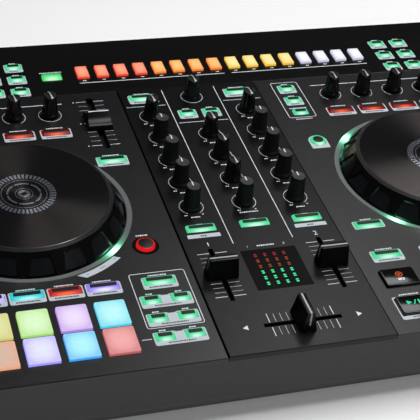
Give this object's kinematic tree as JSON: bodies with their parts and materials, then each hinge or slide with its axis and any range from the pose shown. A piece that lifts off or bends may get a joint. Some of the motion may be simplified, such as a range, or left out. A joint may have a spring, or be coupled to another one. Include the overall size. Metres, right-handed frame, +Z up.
{
  "type": "dj controller",
  "caption": "Two-deck DJ controller with jog wheels, a mixer with knobs and faders, lit pads and buttons, and a step-sequencer strip along its back edge.",
  "frame": {"origin": "centre of the rectangular footprint, on the surface that the rubber feet stand on", "axes": "+Z up, +Y from the player towards the back edge with the sequencer strip, +X to the player's right"},
  "size_m": [0.53, 0.39, 0.0782],
  "materials": {
    "deck_black": "satin, very fine grain",
    "mixer_black": "satin, darker than the decks",
    "gloss_black": "polished",
    "case_black": "fine grain",
    "knob_black": "satin",
    "knob_gloss": "polished flutes",
    "lit_button": "translucent, lit from inside",
    "lit_pad": "translucent silicone, lit from inside",
    "lit_ring": "frosted light guide",
    "window_black": "polished smoked window",
    "metal": "zinc plated",
    "contact_metal": "nickel plated",
    "board_green": "lacquered board",
    "part_grey": "moulded bodies",
    "foot_rubber": "matte"
  },
  "bodies": {
    "chassis": {"bottom_case": "case_black", "left_deck_panel": "deck_black", "right_deck_panel": "deck_black", "mixer_panel": "mixer_black", "sequencer_panel": "gloss_black", "audio_sockets": "contact_metal", "data_and_power_sockets": "contact_metal", "circuit_boards": "board_green", "potentiometers": "part_grey", "jog_bearings": "part_grey", "jog_light_rings": "lit_ring", "level_meter_window": "window_black", "rubber_feet": "foot_rubber", "case_screws": "metal"},
    "left_jog": {"left_jog_wheel": "gloss_black", "left_jog_plate": "gloss_black"},
    "right_jog": {"right_jog_wheel": "gloss_black", "right_jog_plate": "gloss_black"},
    "channel_fader_1": {"channel_fader_1": "knob_black"},
    "channel_fader_2": {"channel_fader_2": "knob_black"},
    "crossfader": {"crossfader": "knob_black"},
    "left_tempo_fader": {"left_tempo_fader": "knob_black"},
    "right_tempo_fader": {"right_tempo_fader": "knob_black"},
    "left_pads": {"left_pads": "lit_pad"},
    "left_cue_button": {"left_cue_button": "lit_button"},
    "left_play_button": {"left_play_button": "lit_button"},
    "left_deck_buttons": {"left_deck_buttons": "lit_button"},
    "right_pads": {"right_pads": "lit_pad"},
    "right_cue_button": {"right_cue_button": "lit_button"},
    "right_play_button": {"right_play_button": "lit_button"},
    "right_deck_buttons": {"right_deck_buttons": "lit_button"},
    "step_pads": {"step_pads": "lit_pad"},
    "mixer_buttons": {"mixer_buttons": "lit_button"},
    "sequencer_buttons": {"sequencer_buttons": "lit_button"},
    "power_switch": {"power_switch": "knob_black"},
    "left_effect_knob_1": {"left_effect_knob_1": "knob_gloss"},
    "left_effect_knob_2": {"left_effect_knob_2": "knob_gloss"},
    "left_effect_knob_3": {"left_effect_knob_3": "knob_gloss"},
    "left_effect_knob_4": {"left_effect_knob_4": "knob_gloss"},
    "right_effect_knob_1": {"right_effect_knob_1": "knob_gloss"},
    "right_effect_knob_2": {"right_effect_knob_2": "knob_gloss"},
    "right_effect_knob_3": {"right_effect_knob_3": "knob_gloss"},
    "right_effect_knob_4": {"right_effect_knob_4": "knob_gloss"},
    "channel_1_trim_knob": {"channel_1_trim_knob": "knob_gloss"},
    "channel_1_high_knob": {"channel_1_high_knob": "knob_black"},
    "channel_1_mid_knob": {"channel_1_mid_knob": "knob_black"},
    "channel_1_low_knob": {"channel_1_low_knob": "knob_black"},
    "channel_1_filter_knob": {"channel_1_filter_knob": "knob_black"},
    "channel_2_trim_knob": {"channel_2_trim_knob": "knob_gloss"},
    "channel_2_high_knob": {"channel_2_high_knob": "knob_black"},
    "channel_2_mid_knob": {"channel_2_mid_knob": "knob_black"},
    "channel_2_low_knob": {"channel_2_low_knob": "knob_black"},
    "channel_2_filter_knob": {"channel_2_filter_knob": "knob_black"},
    "sampler_level_knob": {"sampler_level_knob": "knob_black"},
    "cue_mix_knob": {"cue_mix_knob": "knob_gloss"},
    "booth_level_knob": {"booth_level_knob": "knob_gloss"},
    "master_level_knob": {"master_level_knob": "knob_gloss"},
    "browse_knob": {"browse_knob": "knob_gloss"},
    "sequencer_knob": {"sequencer_knob": "knob_gloss"}
  },
  "joints": [
    {"name": "left_jog_turn", "type": "hinge", "parent": "chassis", "child": "left_jog", "pos_m": [-0.1592, -0.0267, 0.058], "axis": [0, 0, 1], "continuous": true},
    {"name": "right_jog_turn", "type": "hinge", "parent": "chassis", "child": "right_jog", "pos_m": [0.1592, -0.0267, 0.058], "axis": [0, 0, 1], "continuous": true},
    {"name": "channel_fader_1_slide", "type": "slide", "parent": "chassis", "child": "channel_fader_1", "axis": [0, 1, 0], "range_m": [-0.0225, 0.0225]},
    {"name": "channel_fader_2_slide", "type": "slide", "parent": "chassis", "child": "channel_fader_2", "axis": [0, 1, 0], "range_m": [-0.0225, 0.0225]},
    {"name": "crossfader_slide", "type": "slide", "parent": "chassis", "child": "crossfader", "axis": [1, 0, 0], "range_m": [-0.0225, 0.0225]},
    {"name": "left_tempo_fader_slide", "type": "slide", "parent": "chassis", "child": "left_tempo_fader", "axis": [0, 1, 0], "range_m": [-0.03, 0.03]},
    {"name": "right_tempo_fader_slide", "type": "slide", "parent": "chassis", "child": "right_tempo_fader", "axis": [0, 1, 0], "range_m": [-0.03, 0.03]},
    {"name": "left_pads_press", "type": "slide", "parent": "chassis", "child": "left_pads", "axis": [0, 0, -1], "range_m": [0, 0.0015], "stiffness_N_per_m": 1200},
    {"name": "right_pads_press", "type": "slide", "parent": "chassis", "child": "right_pads", "axis": [0, 0, -1], "range_m": [0, 0.0015], "stiffness_N_per_m": 1200},
    {"name": "step_pads_press", "type": "slide", "parent": "chassis", "child": "step_pads", "axis": [0, 0, -1], "range_m": [0, 0.001], "stiffness_N_per_m": 800},
    {"name": "left_cue_button_press", "type": "slide", "parent": "chassis", "child": "left_cue_button", "axis": [0, 0, -1], "range_m": [0, 0.001], "stiffness_N_per_m": 600},
    {"name": "left_play_button_press", "type": "slide", "parent": "chassis", "child": "left_play_button", "axis": [0, 0, -1], "range_m": [0, 0.001], "stiffness_N_per_m": 600},
    {"name": "right_cue_button_press", "type": "slide", "parent": "chassis", "child": "right_cue_button", "axis": [0, 0, -1], "range_m": [0, 0.001], "stiffness_N_per_m": 600},
    {"name": "right_play_button_press", "type": "slide", "parent": "chassis", "child": "right_play_button", "axis": [0, 0, -1], "range_m": [0, 0.001], "stiffness_N_per_m": 600},
    {"name": "left_deck_buttons_press", "type": "slide", "parent": "chassis", "child": "left_deck_buttons", "axis": [0, 0, -1], "range_m": [0, 0.001], "stiffness_N_per_m": 1500},
    {"name": "right_deck_buttons_press", "type": "slide", "parent": "chassis", "child": "right_deck_buttons", "axis": [0, 0, -1], "range_m": [0, 0.001], "stiffness_N_per_m": 1500},
    {"name": "mixer_buttons_press", "type": "slide", "parent": "chassis", "child": "mixer_buttons", "axis": [0, 0, -1], "range_m": [0, 0.001], "stiffness_N_per_m": 1000},
    {"name": "sequencer_buttons_press", "type": "slide", "parent": "chassis", "child": "sequencer_buttons", "axis": [0, 0, -1], "range_m": [0, 0.001], "stiffness_N_per_m": 1200},
    {"name": "power_switch_press", "type": "slide", "parent": "chassis", "child": "power_switch", "axis": [0, -1, 0], "range_m": [0, 0.002], "stiffness_N_per_m": 500},
    {"name": "left_effect_knob_1_turn", "type": "hinge", "parent": "chassis", "child": "left_effect_knob_1", "pos_m": [-0.2028, 0.0895, 0.059], "axis": [0, 0, -1], "range_deg": [-150, 150]},
    {"name": "left_effect_knob_2_turn", "type": "hinge", "parent": "chassis", "child": "left_effect_knob_2", "pos_m": [-0.1746, 0.0895, 0.059], "axis": [0, 0, -1], "range_deg": [-150, 150]},
    {"name": "left_effect_knob_3_turn", "type": "hinge", "parent": "chassis", "child": "left_effect_knob_3", "pos_m": [-0.1464, 0.0895, 0.059], "axis": [0, 0, -1], "range_deg": [-150, 150]},
    {"name": "left_effect_knob_4_turn", "type": "hinge", "parent": "chassis", "child": "left_effect_knob_4", "pos_m": [-0.1182, 0.0895, 0.059], "axis": [0, 0, -1], "continuous": true},
    {"name": "right_effect_knob_1_turn", "type": "hinge", "parent": "chassis", "child": "right_effect_knob_1", "pos_m": [0.1182, 0.0895, 0.059], "axis": [0, 0, -1], "range_deg": [-150, 150]},
    {"name": "right_effect_knob_2_turn", "type": "hinge", "parent": "chassis", "child": "right_effect_knob_2", "pos_m": [0.1464, 0.0895, 0.059], "axis": [0, 0, -1], "range_deg": [-150, 150]},
    {"name": "right_effect_knob_3_turn", "type": "hinge", "parent": "chassis", "child": "right_effect_knob_3", "pos_m": [0.1746, 0.0895, 0.059], "axis": [0, 0, -1], "range_deg": [-150, 150]},
    {"name": "right_effect_knob_4_turn", "type": "hinge", "parent": "chassis", "child": "right_effect_knob_4", "pos_m": [0.2028, 0.0895, 0.059], "axis": [0, 0, -1], "continuous": true},
    {"name": "channel_1_trim_knob_turn", "type": "hinge", "parent": "chassis", "child": "channel_1_trim_knob", "pos_m": [-0.0402, 0.0756, 0.059], "axis": [0, 0, -1], "range_deg": [-150, 150]},
    {"name": "channel_1_high_knob_turn", "type": "hinge", "parent": "chassis", "child": "channel_1_high_knob", "pos_m": [-0.0402, 0.0463, 0.059], "axis": [0, 0, -1], "range_deg": [-150, 150]},
    {"name": "channel_1_mid_knob_turn", "type": "hinge", "parent": "chassis", "child": "channel_1_mid_knob", "pos_m": [-0.0402, 0.017, 0.059], "axis": [0, 0, -1], "range_deg": [-150, 150]},
    {"name": "channel_1_low_knob_turn", "type": "hinge", "parent": "chassis", "child": "channel_1_low_knob", "pos_m": [-0.0402, -0.0123, 0.059], "axis": [0, 0, -1], "range_deg": [-150, 150]},
    {"name": "channel_1_filter_knob_turn", "type": "hinge", "parent": "chassis", "child": "channel_1_filter_knob", "pos_m": [-0.0402, -0.0416, 0.059], "axis": [0, 0, -1], "range_deg": [-150, 150]},
    {"name": "channel_2_trim_knob_turn", "type": "hinge", "parent": "chassis", "child": "channel_2_trim_knob", "pos_m": [0.0402, 0.0756, 0.059], "axis": [0, 0, -1], "range_deg": [-150, 150]},
    {"name": "channel_2_high_knob_turn", "type": "hinge", "parent": "chassis", "child": "channel_2_high_knob", "pos_m": [0.0402, 0.0463, 0.059], "axis": [0, 0, -1], "range_deg": [-150, 150]},
    {"name": "channel_2_mid_knob_turn", "type": "hinge", "parent": "chassis", "child": "channel_2_mid_knob", "pos_m": [0.0402, 0.017, 0.059], "axis": [0, 0, -1], "range_deg": [-150, 150]},
    {"name": "channel_2_low_knob_turn", "type": "hinge", "parent": "chassis", "child": "channel_2_low_knob", "pos_m": [0.0402, -0.0123, 0.059], "axis": [0, 0, -1], "range_deg": [-150, 150]},
    {"name": "channel_2_filter_knob_turn", "type": "hinge", "parent": "chassis", "child": "channel_2_filter_knob", "pos_m": [0.0402, -0.0416, 0.059], "axis": [0, 0, -1], "range_deg": [-150, 150]},
    {"name": "sampler_level_knob_turn", "type": "hinge", "parent": "chassis", "child": "sampler_level_knob", "pos_m": [0, -0.0416, 0.059], "axis": [0, 0, -1], "range_deg": [-150, 150]},
    {"name": "cue_mix_knob_turn", "type": "hinge", "parent": "chassis", "child": "cue_mix_knob", "pos_m": [0, -0.0123, 0.059], "axis": [0, 0, -1], "range_deg": [-150, 150]},
    {"name": "booth_level_knob_turn", "type": "hinge", "parent": "chassis", "child": "booth_level_knob", "pos_m": [0, 0.017, 0.059], "axis": [0, 0, -1], "range_deg": [-150, 150]},
    {"name": "master_level_knob_turn", "type": "hinge", "parent": "chassis", "child": "master_level_knob", "pos_m": [0, 0.0463, 0.059], "axis": [0, 0, -1], "range_deg": [-150, 150]},
    {"name": "browse_knob_turn", "type": "hinge", "parent": "chassis", "child": "browse_knob", "pos_m": [0, 0.0991, 0.059], "axis": [0, 0, -1], "continuous": true},
    {"name": "sequencer_knob_turn", "type": "hinge", "parent": "chassis", "child": "sequencer_knob", "pos_m": [0.236, 0.1439, 0.059], "axis": [0, 0, -1], "continuous": true}
  ]
}
